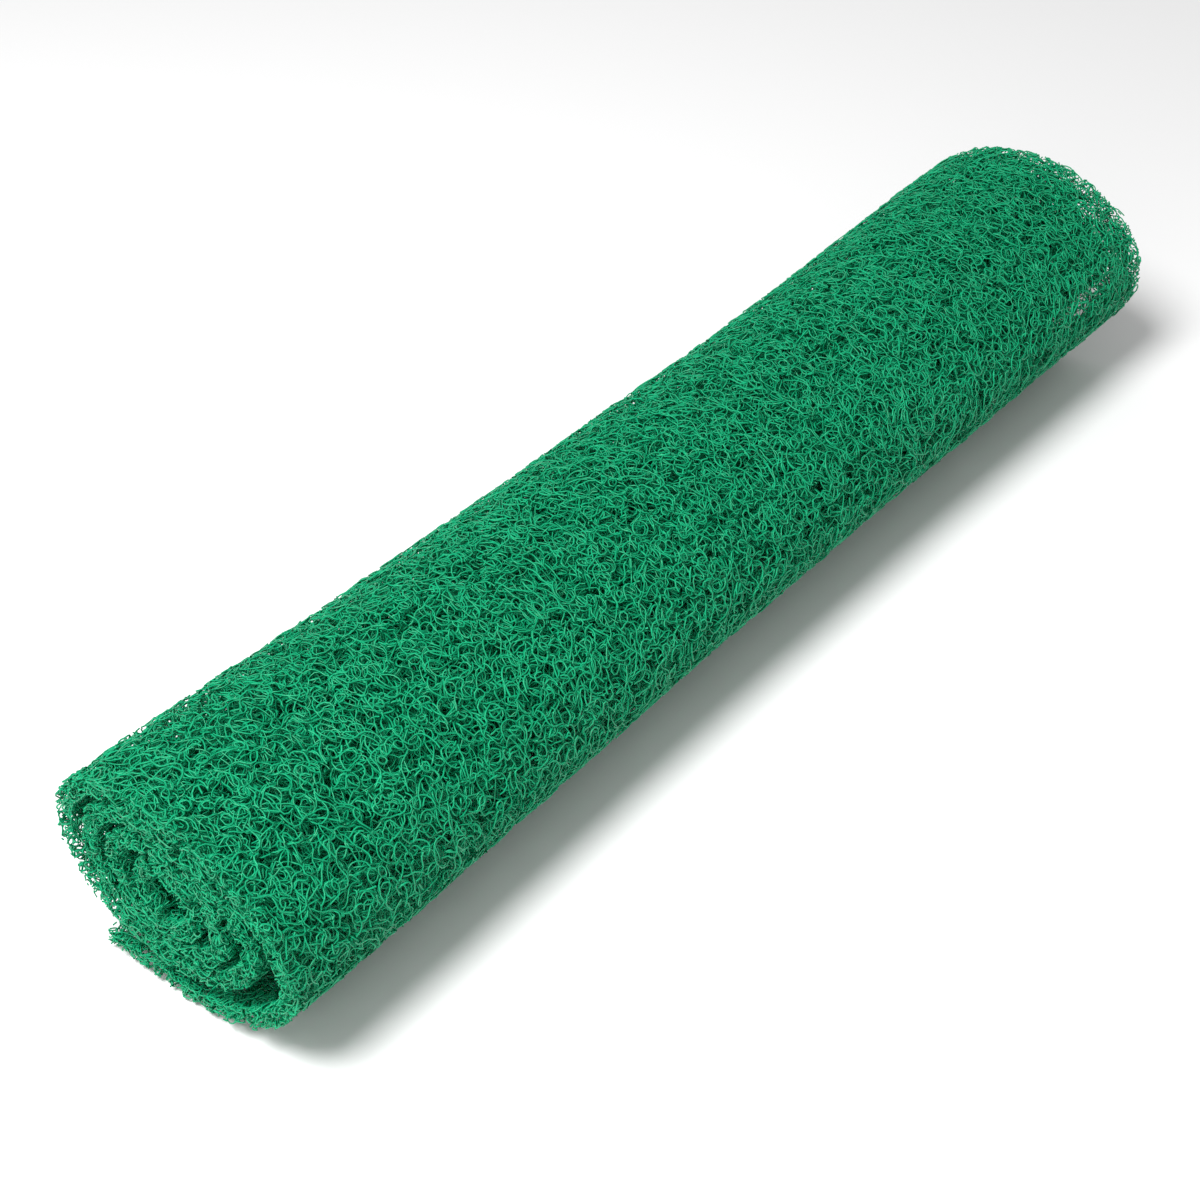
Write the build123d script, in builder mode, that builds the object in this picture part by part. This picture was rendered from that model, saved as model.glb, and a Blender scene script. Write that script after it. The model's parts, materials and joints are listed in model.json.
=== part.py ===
"""Rolled loop mat: one sheet of filament web, divided across its width into hinged strips.

Row frame in mm: X runs along the roll, Z is up, and the flap's underside is at Z = 0.
The sheet starts as a flat flap on the floor, turns up on the -Y side, passes over the top,
comes down the +Y side and carries on inward above the flap. Every joint between two strips
opens about +X, and all of them open together until the sheet lies flat toward -Y.
"""
import os
from math import atan2, cos, degrees, dist, radians, sin, tan

from build123d import *

# ---- the sheet ----
SHEET_WIDTH = 610.0        # across the sheet, along the roll
SHEET_THICK = 9.0          # the web's bonded depth, without its loose top loops
OUTER_STRIP = 24.0         # run of a strip at the outside of the roll
CORE_STRIP = 14.0          # run of a strip at the roll's core
ROW_GAP = 0.3              # clearance between neighbouring strips

# ---- the roll's cross-section, as the sheet's mid-surface distance from the roll's axis ----
TALL_REACH = 47.4          # up and down, at the start of the outermost turn
TALL_PITCH = 9.95          # how much that shrinks in each turn
WIDE_REACH = 58.9          # sideways, at the start of the outermost turn
WIDE_PITCH = 13.0          # how much that shrinks in each turn: the roll is slack at its sides
FLAP_DROP = 4.1            # the outermost turn hangs this far below the rest of the roll
OUTER_SHIFT = -0.8         # sideways shift of the outermost turn's -Y side
INNER_SHIFT = 4.5          # sideways shift of the rest of the roll
EGG = -1.7                 # three-sided bulge of the outermost turn
EGG_TURNS = 4.5            # turns over which that bulge fades to nothing
FLAP_TURN = 9.0            # degrees of the outermost turn that the floor presses flat
ROLL_TURN = 1440.0         # degrees turned from the floor to the sheet's inner edge
AXIS_Y = 2.90              # the roll's axis, measured from the middle of the footprint
FLAP_EDGE_Y = 49.6         # the sheet's free edge, flat on the floor
AXIS_Z = TALL_REACH + SHEET_THICK / 2

SLOPE_STEP = 0.01          # degrees either side, for the reach's slope
RUN_STEP = 0.1             # degrees, for measuring along the sheet
HALF_THICK = SHEET_THICK / 2
HALF_GAP = ROW_GAP / 2


def ease(x):
    """Smooth rise from 0 at x = 0 to 1 at x = 1."""
    x = min(max(x, 0.0), 1.0)
    return x * x * (3 - 2 * x)


def reach(turned):
    """Distance from the roll's axis to the mid-surface's tangent, after turning this far."""
    turns = turned / 360
    facing = radians(270 - turned)
    tall = TALL_REACH - TALL_PITCH * turns
    wide = WIDE_REACH - WIDE_PITCH * turns
    egg = EGG * (1 - turns / EGG_TURNS)
    shift = OUTER_SHIFT + (INNER_SHIFT - OUTER_SHIFT) * ease((turns - 0.25) / 0.5)
    lift = FLAP_DROP * ease(2 * turns)
    oval = (wide - tall) / 2
    return (
        (tall + wide) / 2
        + oval * cos(2 * facing)
        + egg * cos(3 * facing)
        + shift * cos(facing)
        + lift * sin(facing)
    )


def web_point(turned, outward=0.0, ahead=0.0):
    """(Y, Z) on the sheet: outward from its mid-surface, and ahead along its run."""
    facing = radians(270 - turned)
    slope = (reach(turned - SLOPE_STEP) - reach(turned + SLOPE_STEP)) / radians(2 * SLOPE_STEP)
    r = reach(turned) + outward
    y = AXIS_Y + r * cos(facing) - slope * sin(facing) + ahead * sin(facing)
    z = AXIS_Z + r * sin(facing) + slope * cos(facing) - ahead * cos(facing)
    return (y, z)


# ---- hinge lines: hinge 0 is at the flap, and the last entry is the sheet's inner edge ----
hinge_turns = [FLAP_TURN]
turned = FLAP_TURN
run = 0.0
while turned < ROLL_TURN - RUN_STEP / 2:
    here = web_point(turned)
    turned += RUN_STEP
    run += dist(here, web_point(turned))
    strip_run = OUTER_STRIP + (CORE_STRIP - OUTER_STRIP) * hinge_turns[-1] / ROLL_TURN
    if run >= strip_run:
        hinge_turns.append(turned)
        run = 0.0
if run > CORE_STRIP / 2:
    hinge_turns.append(ROLL_TURN)
else:
    hinge_turns[-1] = ROLL_TURN
strip_count = len(hinge_turns) - 1


def beside_hinge(k, outward=0.0, ahead=0.0):
    """(Y, Z) beside hinge k. The sheet still lies flat on the floor at hinge 0."""
    if k == 0:
        return (web_point(FLAP_TURN)[0] - ahead, HALF_THICK - outward)
    return web_point(hinge_turns[k], outward, ahead)


hinges = [beside_hinge(k) for k in range(strip_count + 1)]

# Heading of each rigid piece from hinge to hinge: the flap heads toward -Y.
headings = [180.0]
for k in range(strip_count):
    dy = hinges[k + 1][0] - hinges[k][0]
    dz = hinges[k + 1][1] - hinges[k][1]
    headings.append(degrees(atan2(dz, dy)))

# How far each hinge opens, in degrees, to bring its two pieces into line.
bends = [(headings[k] - headings[k + 1]) % 360 for k in range(strip_count)]


def relief(k):
    """Set-back of the outer edge at hinge k, so the outer halves meet only when it is open."""
    return HALF_THICK * tan(radians(bends[k] / 2)) + HALF_GAP


os.makedirs("parts", exist_ok=True)
roll_end = Plane.YZ.offset(-SHEET_WIDTH / 2)

# ---- the flap: flat on the floor, from the free edge to hinge 0 ----
flap_y = hinges[0][0]
with BuildPart() as web_flap:
    with BuildSketch(roll_end):
        with BuildLine():
            Polyline(
                (FLAP_EDGE_Y, 0),
                (FLAP_EDGE_Y, SHEET_THICK),
                (flap_y + HALF_GAP, SHEET_THICK),
                (flap_y + HALF_GAP, HALF_THICK),
                (flap_y + relief(0), 0),
                close=True,
            )
        make_face()
    extrude(amount=SHEET_WIDTH)
web_flap.part.label = "web_flap"
export_step(web_flap.part, "parts/web_flap.step")

# ---- the strips: curved slabs between one hinge line and the next ----
for k in range(strip_count):
    middle = (hinge_turns[k] + hinge_turns[k + 1]) / 2
    last = k == strip_count - 1
    end_gap = 0.0 if last else HALF_GAP
    end_relief = 0.0 if last else relief(k + 1)

    inner_start = beside_hinge(k, -HALF_THICK, HALF_GAP)
    inner_middle = web_point(middle, -HALF_THICK)
    inner_end = beside_hinge(k + 1, -HALF_THICK, -end_gap)
    core_end = beside_hinge(k + 1, 0, -end_gap)
    outer_end = beside_hinge(k + 1, HALF_THICK, -end_relief)
    outer_middle = web_point(middle, HALF_THICK)
    outer_start = beside_hinge(k, HALF_THICK, relief(k))
    core_start = beside_hinge(k, 0, HALF_GAP)

    with BuildPart() as web_strip:
        with BuildSketch(roll_end):
            with BuildLine():
                ThreePointArc(inner_start, inner_middle, inner_end)
                Polyline(inner_end, core_end, outer_end)
                ThreePointArc(outer_end, outer_middle, outer_start)
                Polyline(outer_start, core_start, inner_start)
            make_face()
        extrude(amount=SHEET_WIDTH)
    name = f"web_strip_{k + 1:02d}"
    web_strip.part.label = name
    export_step(web_strip.part, f"parts/{name}.step")

# ---- hinge lines and opening angles, printed for the joint list ----
flat_length = FLAP_EDGE_Y - flap_y + sum(dist(hinges[k], hinges[k + 1]) for k in range(strip_count))
print(f"strips {strip_count}, flat length {flat_length:.1f} mm")
for k in range(strip_count):
    print(f"hinge {k + 1:02d} y {hinges[k][0]:.4f} z {hinges[k][1]:.4f} opens {bends[k]:.4f}")
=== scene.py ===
import json
import math

import bpy
import numpy as np
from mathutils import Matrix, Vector

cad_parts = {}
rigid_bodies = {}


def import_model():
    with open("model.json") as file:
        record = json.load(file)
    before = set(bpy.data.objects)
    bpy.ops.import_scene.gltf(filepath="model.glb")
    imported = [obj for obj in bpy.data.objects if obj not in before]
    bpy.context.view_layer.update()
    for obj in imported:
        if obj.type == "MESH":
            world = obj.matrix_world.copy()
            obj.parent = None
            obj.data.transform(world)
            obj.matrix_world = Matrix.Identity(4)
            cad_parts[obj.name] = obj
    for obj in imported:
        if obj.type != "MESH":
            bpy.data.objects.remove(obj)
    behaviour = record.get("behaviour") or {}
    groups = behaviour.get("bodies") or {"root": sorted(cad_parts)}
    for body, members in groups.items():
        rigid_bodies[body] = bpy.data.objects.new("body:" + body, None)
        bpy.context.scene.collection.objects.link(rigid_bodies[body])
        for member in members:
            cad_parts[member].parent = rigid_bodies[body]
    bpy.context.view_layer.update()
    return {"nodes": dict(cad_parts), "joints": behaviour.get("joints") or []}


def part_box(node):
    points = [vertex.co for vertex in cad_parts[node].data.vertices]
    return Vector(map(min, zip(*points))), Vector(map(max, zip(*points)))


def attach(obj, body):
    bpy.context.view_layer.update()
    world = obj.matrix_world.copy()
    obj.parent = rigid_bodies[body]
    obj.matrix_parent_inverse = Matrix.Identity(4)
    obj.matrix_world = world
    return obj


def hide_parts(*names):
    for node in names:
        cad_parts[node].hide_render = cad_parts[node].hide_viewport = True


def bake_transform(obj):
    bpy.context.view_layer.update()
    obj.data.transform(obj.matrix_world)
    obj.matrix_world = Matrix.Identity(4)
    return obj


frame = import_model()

# ---------------------------------------------------------------- camera
LENS_MM = 70.1
SENSOR_MM = 36.0
CAMERA_AT = Vector((-0.6781, -0.4842, 0.6582))
CAMERA_FORWARD = Vector((0.6216, 0.4840, -0.6159)).normalized()

# ---------------------------------------------------------------- the sheet, in metres
MM = 0.001
HALF_DEPTH = 4.5 * MM             # half the bonded depth of the web
FUZZ = 0.5 * MM                   # how far the loosest loops stand out of that depth
FILAMENT = 0.72 * MM              # filament diameter
FILAMENT_SPREAD = 0.08            # how much that diameter varies, as a share of it
LINE_STEP = 0.25 * MM             # spacing of the points that the sheet's centreline is read at
SPAN_POINTS = 60                  # points of the curve between two of its knots
FIRST_BEND = 12.0 * MM            # run before the first hinge over which the web starts to bend

# broad shallow hollows of the sheet, as waves: per metre of run, per metre of X, and phase
DENT = 0.9 * MM                   # how deep they are
HOLLOW_WAVES = ((71.0, 23.0, 0.0), (-38.0, 47.0, 1.7), (104.0, 19.0, 4.1))

# ---------------------------------------------------------------- how the web is filled
SEED = 20417
FULL_FILL = 3.3                   # filament length per area, mm per mm2, on the outermost turn
CORE_FILL = 2.4                   # the same, at the roll's core
FULL_RUN = 0.36                   # run of the sheet that is filled fully
SKIN_SHARE = 0.36                 # share of the filaments that lie along the two faces
SKIN_DEPTH = (0.72, 0.97)         # where those start, as a share of HALF_DEPTH
END_BAND = 30.0 * MM              # length of roll at each end with a closer web
END_FILL = (1.3, 2.3)             # extra filament length per area there, near end and far end
END_CROWDING = 1.3                # how much these crowd toward the end; 1 is evenly spread
EDGE_BAND = 5.0 * MM              # strip along each side edge with short tight bits
EDGE_FILL = 3.0                   # extra filament length per area there
EDGE_CROWDING = 1.5               # how much these crowd toward the edge

# ---------------------------------------------------------------- the shape of a filament
LOOP_RADIUS = 3.4 * MM            # usual radius of a filament's curl
KNOT_RADIUS = 1.6 * MM            # the same, in the short bits along a side edge
RADIUS_SPREAD = 0.28              # how much that radius varies between filaments, log scale
RADIUS_DRIFT = 0.22               # how much it changes from one segment to the next, log scale
RADIUS_LIMITS = (0.6, 1.9)        # how small and large it gets, as a share of the usual one
STEP = 2.0 * MM                   # length of one segment
CORE_STEP = 2.5 * MM              # the same, in the thinly filled part
KNOT_STEP = 1.05 * MM             # the same, in the short bits
SEGMENTS = (12, 8)                # segments in a long and in a short filament
CORE_SEGMENTS = (10, 6)           # the same, in the thinly filled part
END_SEGMENTS = 10                 # segments in an extra filament at the roll's ends
KNOT_SEGMENTS = 6                 # segments in a short bit
FLIP_RATE = 0.09 / MM             # chance per length that a curl turns the other way
AXIS_HOLD = 0.6                   # how strongly a filament keeps square to its curl's axis
SMOOTHING = 0.2                   # share of each neighbour in a smoothed point
SIDES = 3                         # faces round a filament

# how far a curl's axis leans from the sheet's normal, and how much it wanders per segment
INNER_LEAN, INNER_WANDER = 0.9, 0.16
SKIN_LEAN, SKIN_WANDER = 0.16, 0.07
END_LEAN, END_WANDER = 0.7, 0.16
KNOT_LEAN, KNOT_WANDER = 1.5, 0.3

# at the sheet's edges
LOOPED_SHARE = 0.5                # share of the filaments that turn back there; the rest are cut
RAGGED = (-0.5 * MM, 0.9 * MM)    # how far past the edge a filament may reach

# the open cells between the loops: one in each square of a grid, for the outer and inner half
CELL_GRID = 7.0 * MM              # size of those squares
CELL_MARGIN = 3                   # spare squares beyond the sheet's edges
CELL_PLACE = (0.12, 0.88)         # where in its square a cell's centre may lie, as a share
CELL_RADIUS = (0.5 * MM, 2.5 * MM)    # radius of the smallest and the largest cells
CELL_REACH = 5.6 * MM             # how far from its centre a cell pushes the filaments aside
CELL_CHANGE = 0.9 * HALF_DEPTH    # depth over which the outer half's cells give way to the inner's

# ---------------------------------------------------------------- the roll's own shape
# how far each end of the roll leans out or in, per metre of Y and Z
NEAR_LEAN = (0.0295, -0.0794)
FAR_LEAN = (-0.15, 0.05)
LEAN_CENTRE = (0.0037, 0.0517)    # Y and Z where the ends don't lean

# the roll is wound tighter in its middle and flares at both ends
WAIST = -0.008                    # growth of the roll's section in the middle
NEAR_FLARE = 0.058                # added growth at the near end
FAR_FLARE = 0.054                 # added growth at the far end
NEAR_FLARE_SHARE = 0.42           # share of the roll's length that the near flare takes
FAR_FLARE_SHARE = 0.38            # the same, for the far flare
FLARE_LIFT = 0.030                # Z that the section grows away from
FLARE_FLOOR = 0.040               # Z under which it grows less, because it stands on the floor
FLAP_CLEAR = 0.090                # run from the free edge over which the sideways growth sets in

# ---------------------------------------------------------------- looks
VINYL_DARK = (0.002, 0.235, 0.100, 1)
VINYL_LIGHT = (0.007, 0.41, 0.188, 1)
VINYL_ROUGHNESS = 0.36
VINYL_SPECULAR = 0.25
PATCH_SCALE = (61.0, 80.0, 1.0)   # the flat sheet's size in centimetres, which keeps patches even
FLOOR_GREY = (0.86, 0.86, 0.86, 1)
FLOOR_HALF = 6.0                  # half the floor's width
FLOOR_Z = -2.0 * MM               # a little under the rolled mat's lowest filaments
WORLD_STRENGTH = 0.42
KEY_POWER = 43.0
FILL_POWER = 11.5

rng = np.random.default_rng(SEED)

# ---------------------------------------------------------------- the sheet's centreline
joints = sorted(frame["joints"], key=lambda j: j["name"])
hinge_yz = np.array([j["pos_m"][1:] for j in joints])
bodies = [joints[0]["parent"]] + [j["child"] for j in joints]
flap_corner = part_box(bodies[0])[1]
half_width = flap_corner.x
flap_edge = np.array([[flap_corner.y, HALF_DEPTH]])
flap_middle = (flap_edge + hinge_yz[:1]) / 2


def inner_end():
    """(Y, Z) of the sheet's inner edge: the middle of the last strip's far face."""
    mesh = frame["nodes"][bodies[-1]].data
    points = np.array([v.co for v in mesh.vertices])[:, 1:]
    away = np.linalg.norm(points - hinge_yz[-1], axis=1)
    far_face = points[away > away.max() - 1.0 * MM]
    return far_face.mean(0)[None]


def circle_tangent(a, b, c):
    """Direction of travel at b on the circle through a, b and c."""
    first = (b - a) / np.linalg.norm(b - a) ** 2
    second = (c - b) / np.linalg.norm(c - b) ** 2
    both = first + second
    return both / np.linalg.norm(both)


def centreline(knots):
    """A smooth line through the knots, read at every LINE_STEP.

    Returns the run, place and direction of each of its points, and the run of each knot."""
    count = len(knots)
    ways = [None] * count
    for i in range(1, count - 1):
        ways[i] = circle_tangent(knots[i - 1], knots[i], knots[i + 1])
    ways[0] = ways[1] = np.array([-1.0, 0.0])
    chord = (knots[-1] - knots[-2]) / np.linalg.norm(knots[-1] - knots[-2])
    ways[-1] = 2 * chord * (chord @ ways[-2]) - ways[-2]
    points = []
    share = np.linspace(0, 1, SPAN_POINTS, endpoint=False)[:, None]
    for i in range(count - 1):
        span = np.linalg.norm(knots[i + 1] - knots[i])
        turn = math.acos(max(-1.0, min(1.0, float(ways[i] @ ways[i + 1]))))
        pull = span * (1 + turn ** 2 / 24)
        points.append(
            (2 * share ** 3 - 3 * share ** 2 + 1) * knots[i]
            + (share ** 3 - 2 * share ** 2 + share) * pull * ways[i]
            + (3 * share ** 2 - 2 * share ** 3) * knots[i + 1]
            + (share ** 3 - share ** 2) * pull * ways[i + 1]
        )
    points.append(knots[-1:])
    fine = np.concatenate(points)
    run = np.concatenate([[0], np.cumsum(np.linalg.norm(np.diff(fine, axis=0), axis=1))])
    even = np.arange(0, run[-1], LINE_STEP)
    line = np.stack([np.interp(even, run, fine[:, 0]), np.interp(even, run, fine[:, 1])], 1)
    way = np.gradient(line, axis=0)
    way /= np.linalg.norm(way, axis=1)[:, None]
    return even, line, way, run[::SPAN_POINTS]


line_run, line_at, line_way, knot_runs = centreline(
    np.concatenate([flap_edge, flap_middle, hinge_yz, inner_end()])
)
sheet_length = float(line_run[-1])


def hollow(s, x):
    """How far the web sinks toward the roll's inside, in metres, in broad shallow hollows."""
    waves = sum(np.sin(s * along + x * across + phase) for along, across, phase in HOLLOW_WAVES)
    return DENT * (0.5 + waves / (2 * len(HOLLOW_WAVES)))


def ease(share):
    """A smooth step from 0 to 1."""
    share = np.clip(share, 0, 1)
    return share * share * (3 - 2 * share)


def growth(share):
    """Growth of the roll's section at a share of its length from the near end."""
    near = ease(1 - share / NEAR_FLARE_SHARE)
    far = ease(1 - (1 - share) / FAR_FLARE_SHARE)
    return WAIST + NEAR_FLARE * near + FAR_FLARE * far


def across_share(x):
    """Share of the sheet's width that lies between its near side edge and x."""
    return np.clip((x + half_width) / (2 * half_width), 0, 1)


def place(s, x, depth):
    """Points in the part's frame for places on the sheet.

    s is the run from the free edge, x goes across, and depth goes toward the roll's inside."""
    y = np.interp(s, line_run, line_at[:, 0])
    z = np.interp(s, line_run, line_at[:, 1])
    way_y = np.interp(s, line_run, line_way[:, 0])
    way_z = np.interp(s, line_run, line_way[:, 1])
    over = np.maximum(s - sheet_length, 0) + np.minimum(s, 0)
    y = y + way_y * over + way_z * depth
    z = z + way_z * over - way_y * depth
    share = across_share(x)
    grow = growth(share)
    y = y * (1 + grow * ease(s / FLAP_CLEAR))
    z = z + (z - FLARE_LIFT) * grow * ease(z / FLARE_FLOOR)
    dy = y - LEAN_CENTRE[0]
    dz = z - LEAN_CENTRE[1]
    near = NEAR_LEAN[0] * dy + NEAR_LEAN[1] * dz
    far = FAR_LEAN[0] * dy + FAR_LEAN[1] * dz
    return np.stack([x + near * (1 - share) ** 3 + far * share ** 3, y, z], -1)


# ---------------------------------------------------------------- filaments
def unit(v):
    """Vectors of length 1 along v."""
    return v / np.linalg.norm(v, axis=-1, keepdims=True)


def folded(values, lowest, highest):
    """Values turned back, as by a mirror, wherever they pass the limits."""
    span = highest - lowest
    wrapped = np.mod(values - lowest, 2 * span)
    return lowest + np.where(wrapped > span, 2 * span - wrapped, wrapped)


CELL_ROWS = int(sheet_length / CELL_GRID) + 2 * CELL_MARGIN
CELL_COLUMNS = int(2 * half_width / CELL_GRID) + 2 * CELL_MARGIN
cell_places = rng.uniform(*CELL_PLACE, (2, CELL_ROWS, CELL_COLUMNS, 2))
cell_radius = rng.uniform(*CELL_RADIUS, (2, CELL_ROWS, CELL_COLUMNS))


def pushed(run, x, half):
    """How far the cells of one half of the web push a place aside, as (run, x)."""
    row = np.floor(run / CELL_GRID).astype(int) + CELL_MARGIN
    column = np.floor((x + half_width) / CELL_GRID).astype(int) + CELL_MARGIN
    total_run = np.zeros_like(run)
    total_x = np.zeros_like(x)
    for row_off in (-1, 0, 1):
        for column_off in (-1, 0, 1):
            i = np.clip(row + row_off, 0, CELL_ROWS - 1)
            j = np.clip(column + column_off, 0, CELL_COLUMNS - 1)
            centre = cell_places[half, i, j]
            away_run = run - (i - CELL_MARGIN + centre[..., 0]) * CELL_GRID
            away_x = x + half_width - (j - CELL_MARGIN + centre[..., 1]) * CELL_GRID
            distance = np.hypot(away_run, away_x) + 1e-7
            push = cell_radius[half, i, j] * np.clip(1 - distance / CELL_REACH, 0, 1) ** 2
            total_run += push * away_run / distance
            total_x += push * away_x / distance
    return total_run, total_x


def opened(path):
    """The filaments gathered round open cells, so that they form a net."""
    outer_run, outer_x = pushed(path[..., 0], path[..., 1], 0)
    inner_run, inner_x = pushed(path[..., 0], path[..., 1], 1)
    inner = ease(0.5 + path[..., 2] / CELL_CHANGE)
    path[..., 0] += outer_run * (1 - inner) + inner_run * inner
    path[..., 1] += outer_x * (1 - inner) + inner_x * inner
    return path


def curls(start, steps, step, loop_radius, lean, wander):
    """Curly filaments in sheet space, as (count, steps + 1, 3) points of run, x and depth.

    Each one turns about its own axis, which leans from the sheet's normal by about lean and
    wanders. Returns the points, and which of them are kept: those past an edge are cut off."""
    count = len(start)
    at = start.copy()
    axis = unit(rng.normal(size=(count, 3)) * lean + np.array([0, 0, 1.0]))
    way = unit(np.cross(axis, rng.normal(size=(count, 3))))
    radius = loop_radius * np.exp(rng.normal(0, RADIUS_SPREAD, count))
    smallest, largest = RADIUS_LIMITS[0] * loop_radius, RADIUS_LIMITS[1] * loop_radius
    side = rng.choice([-1.0, 1.0], count)
    flip_chance = FLIP_RATE * step
    path = [at.copy()]
    for _ in range(steps):
        side = np.where(rng.random(count) < flip_chance, -side, side)
        radius = np.clip(radius * np.exp(rng.normal(0, RADIUS_DRIFT, count)), smallest, largest)
        axis = unit(axis + rng.normal(0, wander, (count, 3)))
        way = unit(way - axis * np.sum(way * axis, 1, keepdims=True) * AXIS_HOLD)
        angle = (side * step / radius)[:, None]
        way = unit(way * np.cos(angle) + np.cross(axis, way) * np.sin(angle))
        at = at + way * step
        path.append(at.copy())
    path = np.stack(path, 1)
    limit = (HALF_DEPTH - FILAMENT / 2 + FUZZ * rng.random(count) ** 3)[:, None]
    path[..., 2] = folded(path[..., 2], -limit, limit)
    path = opened(path)
    ragged = rng.uniform(*RAGGED, (count, 1))
    looped = rng.random((count, 1)) < LOOPED_SHARE
    turned_run = folded(path[..., 0], -ragged, sheet_length + ragged)
    turned_x = folded(path[..., 1], -half_width - ragged, half_width + ragged)
    path[..., 0] = np.where(looped, turned_run, path[..., 0])
    path[..., 1] = np.where(looped, turned_x, path[..., 1])
    keep = np.abs(path[..., 1]) <= half_width + ragged
    keep &= (path[..., 0] >= -ragged) & (path[..., 0] <= sheet_length + ragged)
    neighbours = path[:, :-2] + path[:, 2:]
    path[:, 1:-1] = path[:, 1:-1] * (1 - 2 * SMOOTHING) + neighbours * SMOOTHING
    return path, keep


def tubes(paths):
    """Vertices (n, points, SIDES, 3) of round tubes along paths (n, points, 3)."""
    way = unit(np.gradient(paths, axis=1) + 1e-9)
    up = np.empty_like(way)
    up[:, 0] = unit(np.cross(way[:, 0], rng.normal(size=(len(paths), 3))))
    for i in range(1, paths.shape[1]):
        carried = up[:, i - 1] - way[:, i] * np.sum(up[:, i - 1] * way[:, i], 1, keepdims=True)
        up[:, i] = unit(carried + 1e-9)
    across = np.cross(way, up)
    rounds = np.arange(SIDES) * 2 * np.pi / SIDES
    ring = (
        up[:, :, None] * np.cos(rounds)[None, None, :, None]
        + across[:, :, None] * np.sin(rounds)[None, None, :, None]
    )
    radius = FILAMENT / 2 * (1 + rng.normal(0, FILAMENT_SPREAD, len(paths)))
    return paths[:, :, None] + ring * radius[:, None, None, None]


def fill_at(s):
    """Filament length per area, mm per mm2, at a run s along the sheet."""
    share = np.clip((s - FULL_RUN) / (sheet_length - FULL_RUN), 0, 1)
    return FULL_FILL + (CORE_FILL - FULL_FILL) * share


def starts(run_from, run_to, steps, step, share):
    """Random starting places for the filaments that fill part of the sheet."""
    most = max(fill_at(run_from), fill_at(run_to))
    area = (run_to - run_from) * 2 * half_width / MM ** 2
    count = int(share * most * area / (steps * step / MM))
    run = rng.uniform(run_from, run_to, count)
    run = run[rng.random(count) * most < fill_at(run)]
    x = rng.uniform(-half_width, half_width, len(run))
    depth = rng.uniform(-1, 1, len(run)) * HALF_DEPTH
    return np.stack([run, x, depth], 1)


def side_starts(side, band, crowding, fill, steps, step):
    """Random starting places in a band along one side edge, crowded toward that edge."""
    count = int(fill * sheet_length * band / MM ** 2 / (steps * step / MM))
    run = rng.uniform(0, sheet_length, count)
    x = side * (half_width - band * rng.random(count) ** crowding)
    depth = rng.uniform(-1, 1, count) * HALF_DEPTH
    return np.stack([run, x, depth], 1)


def fill_sheet():
    """All filaments of the sheet, as a list of (paths, which of their points are kept)."""
    made = []
    parts = (
        (0.0, FULL_RUN, STEP, SEGMENTS),
        (FULL_RUN, sheet_length, CORE_STEP, CORE_SEGMENTS),
    )
    for run_from, run_to, step, segments in parts:
        for steps in segments:
            within = starts(run_from, run_to, steps, step, (1 - SKIN_SHARE) / 2)
            made.append(curls(within, steps, step, LOOP_RADIUS, INNER_LEAN, INNER_WANDER))
            skin = starts(run_from, run_to, steps, step, SKIN_SHARE / 2)
            skin[:, 2] = np.sign(skin[:, 2]) * HALF_DEPTH * rng.uniform(*SKIN_DEPTH, len(skin))
            made.append(curls(skin, steps, step, LOOP_RADIUS, SKIN_LEAN, SKIN_WANDER))
    for side, end_fill in zip((-1, 1), END_FILL):
        more = side_starts(side, END_BAND, END_CROWDING, end_fill, END_SEGMENTS, STEP)
        made.append(curls(more, END_SEGMENTS, STEP, LOOP_RADIUS, END_LEAN, END_WANDER))
        bits = side_starts(side, EDGE_BAND, EDGE_CROWDING, EDGE_FILL, KNOT_SEGMENTS, KNOT_STEP)
        made.append(curls(bits, KNOT_SEGMENTS, KNOT_STEP, KNOT_RADIUS, KNOT_LEAN, KNOT_WANDER))
    return made


def make_mesh(name, groups):
    """One mesh of tubes. groups is a list of (sheet-space paths, which of their points are kept)."""
    places, corners, uvs = [], [], []
    first = 0
    for paths, keep in groups:
        if not len(paths):
            continue
        s, x, depth = paths[..., 0], paths[..., 1], paths[..., 2]
        n, points = paths.shape[:2]
        index = first + np.arange(n * points * SIDES).reshape(n, points, SIDES)
        beside = np.roll(index, -1, 2)
        quads = np.stack([index[:, :-1], index[:, 1:], beside[:, 1:], beside[:, :-1]], -1)
        corners.append(quads[keep[:, :-1] & keep[:, 1:]].reshape(-1, 4))
        places.append(tubes(place(s, x, depth + hollow(s, x))).reshape(-1, 3))
        flat = np.stack([across_share(x), np.clip(s / sheet_length, 0, 1)], -1)
        uvs.append(np.repeat(flat[:, :, None], SIDES, 2).reshape(-1, 2))
        first += n * points * SIDES
    corners = np.concatenate(corners)
    used = np.zeros(first, bool)
    used[corners.ravel()] = True
    places = np.concatenate(places)[used]
    uvs = np.concatenate(uvs)[used]
    corners = (np.cumsum(used) - 1)[corners]
    mesh = bpy.data.meshes.new(name)
    mesh.vertices.add(len(places))
    mesh.vertices.foreach_set("co", places.astype(np.float32).ravel())
    mesh.loops.add(corners.size)
    mesh.loops.foreach_set("vertex_index", corners.astype(np.int32).ravel())
    mesh.polygons.add(len(corners))
    mesh.polygons.foreach_set("loop_start", np.arange(0, corners.size, 4, dtype=np.int32))
    mesh.polygons.foreach_set("use_smooth", np.ones(len(corners), bool))
    mesh.update(calc_edges=True)
    layer = mesh.uv_layers.new(name="OFBake")
    layer.data.foreach_set("uv", uvs[corners.ravel()].astype(np.float32).ravel())
    piece = bpy.data.objects.new(name, mesh)
    bpy.context.scene.collection.objects.link(piece)
    return piece


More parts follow.
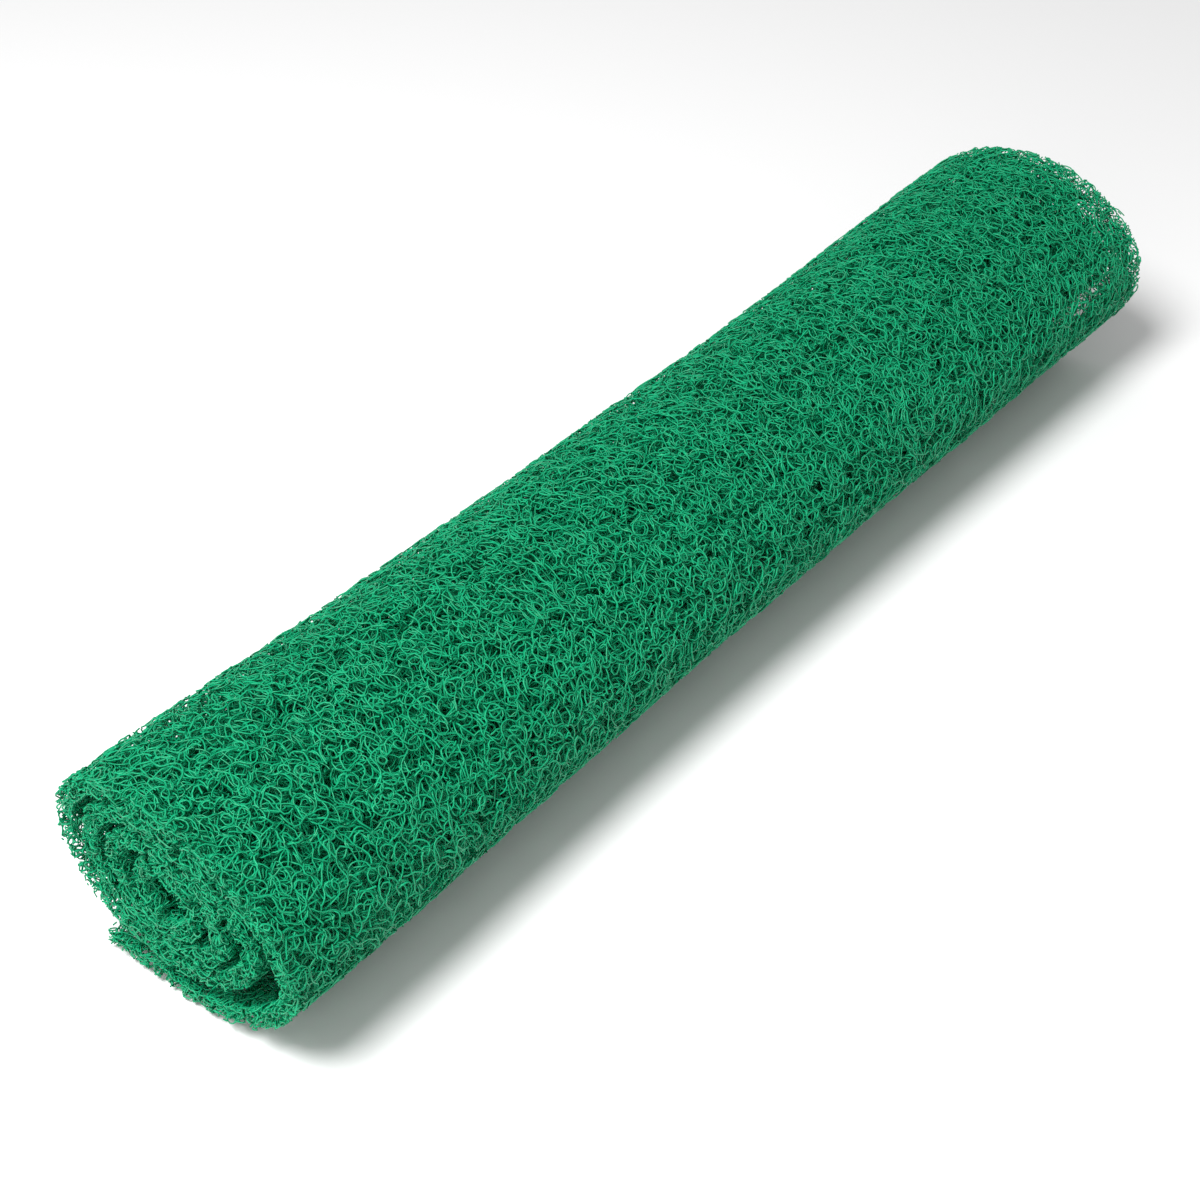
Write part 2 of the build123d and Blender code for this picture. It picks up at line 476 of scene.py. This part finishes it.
# ---------------------------------------------------------------- material
def vinyl_material():
    """One green plastic, whose shade varies in patches."""
    material = bpy.data.materials.new("vinyl_loops_green")
    material.use_nodes = True
    nodes = material.node_tree.nodes
    links = material.node_tree.links
    shader = nodes["Principled BSDF"]
    shader.inputs["Roughness"].default_value = VINYL_ROUGHNESS
    shader.inputs["Specular IOR Level"].default_value = VINYL_SPECULAR
    uv = nodes.new("ShaderNodeUVMap")
    uv.uv_map = "OFBake"
    spread = nodes.new("ShaderNodeMapping")
    spread.inputs["Scale"].default_value = PATCH_SCALE
    links.new(uv.outputs["UV"], spread.inputs["Vector"])
    patches = nodes.new("ShaderNodeTexNoise")
    patches.inputs["Scale"].default_value = 1.6
    patches.inputs["Detail"].default_value = 6.0
    patches.inputs["Roughness"].default_value = 0.7
    links.new(spread.outputs["Vector"], patches.inputs["Vector"])
    ramp = nodes.new("ShaderNodeValToRGB")
    ramp.color_ramp.elements[0].position = 0.3
    ramp.color_ramp.elements[0].color = VINYL_DARK
    ramp.color_ramp.elements[1].position = 0.72
    ramp.color_ramp.elements[1].color = VINYL_LIGHT
    links.new(patches.outputs["Fac"], ramp.inputs["Fac"])
    links.new(ramp.outputs["Color"], shader.inputs["Base Color"])
    return material


vinyl = vinyl_material()

# ---------------------------------------------------------------- the web, one piece per hinge
# A piece reaches from the middle of one strip to the middle of the next, and bends across the
# hinge between them. The flap's two pieces and the last strip's inner half ride on one body.
hinge_runs = knot_runs[2:-1]
mid_runs = np.concatenate([
    [hinge_runs[0] - FIRST_BEND],
    (hinge_runs[:-1] + hinge_runs[1:]) / 2,
    [(hinge_runs[-1] + sheet_length) / 2],
])
piece_edges = np.concatenate([[-1.0, mid_runs[0] / 2], mid_runs, [sheet_length + 1.0]])
filaments = fill_sheet()
last = len(piece_edges) - 2

for number in range(last + 1):
    groups = []
    for paths, keep in filaments:
        middle = paths[..., 0].mean(1)
        here = (middle >= piece_edges[number]) & (middle < piece_edges[number + 1])
        groups.append((paths[here], keep[here]))
    piece = make_mesh(f"loops_{number:02d}", groups)
    piece.data.materials.append(vinyl)
    if number < 2:
        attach(piece, bodies[0])
        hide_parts(bodies[0])
    elif number == last:
        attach(piece, bodies[-1])
    else:
        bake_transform(piece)
        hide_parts(bodies[number - 1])


# ---------------------------------------------------------------- floor, light and camera
def pale_floor():
    """A plain floor under the mat."""
    signs = ((-1, -1), (1, -1), (1, 1), (-1, 1))
    mesh = bpy.data.meshes.new("floor")
    mesh.from_pydata([(x * FLOOR_HALF, y * FLOOR_HALF, FLOOR_Z) for x, y in signs], [], [(0, 1, 2, 3)])
    paint = bpy.data.materials.new("floor_paint")
    paint.use_nodes = True
    shader = paint.node_tree.nodes["Principled BSDF"]
    shader.inputs["Base Color"].default_value = FLOOR_GREY
    shader.inputs["Roughness"].default_value = 0.9
    mesh.materials.append(paint)
    floor = bpy.data.objects.new("floor", mesh)
    bpy.context.scene.collection.objects.link(floor)
    return floor


def white_world():
    """Even white light from all round."""
    world = bpy.context.scene.world or bpy.data.worlds.new("world")
    bpy.context.scene.world = world
    world.use_nodes = True
    nodes = world.node_tree.nodes
    background = nodes.get("Background") or nodes.new("ShaderNodeBackground")
    background.inputs["Color"].default_value = (1.0, 1.0, 1.0, 1)
    background.inputs["Strength"].default_value = WORLD_STRENGTH


def area_light(name, at, target, size, power):
    """A round soft light at one place, turned toward another."""
    data = bpy.data.lights.new(name, "AREA")
    data.shape = "DISK"
    data.size = size
    data.energy = power
    lamp = bpy.data.objects.new(name, data)
    bpy.context.scene.collection.objects.link(lamp)
    lamp.location = at
    lamp.rotation_mode = "QUATERNION"
    lamp.rotation_quaternion = (Vector(target) - Vector(at)).to_track_quat("-Z", "Y")


def photo_camera():
    """The scene's camera, at the photo's angle."""
    data = bpy.data.cameras.new("camera")
    data.lens = LENS_MM
    data.sensor_width = SENSOR_MM
    data.clip_start = 0.01
    data.clip_end = 50.0
    camera = bpy.data.objects.new("camera", data)
    bpy.context.scene.collection.objects.link(camera)
    camera.location = CAMERA_AT
    camera.rotation_mode = "QUATERNION"
    camera.rotation_quaternion = CAMERA_FORWARD.to_track_quat("-Z", "Y")
    bpy.context.scene.camera = camera


pale_floor()
white_world()
area_light("key_light", (-0.95, 0.05, 1.65), (-0.05, 0, 0.05), 0.8, KEY_POWER)
area_light("fill_light", (-1.9, -0.8, 0.8), (-0.2, 0, 0.05), 1.4, FILL_POWER)
photo_camera()
bpy.context.scene.view_settings.view_transform = "Standard"
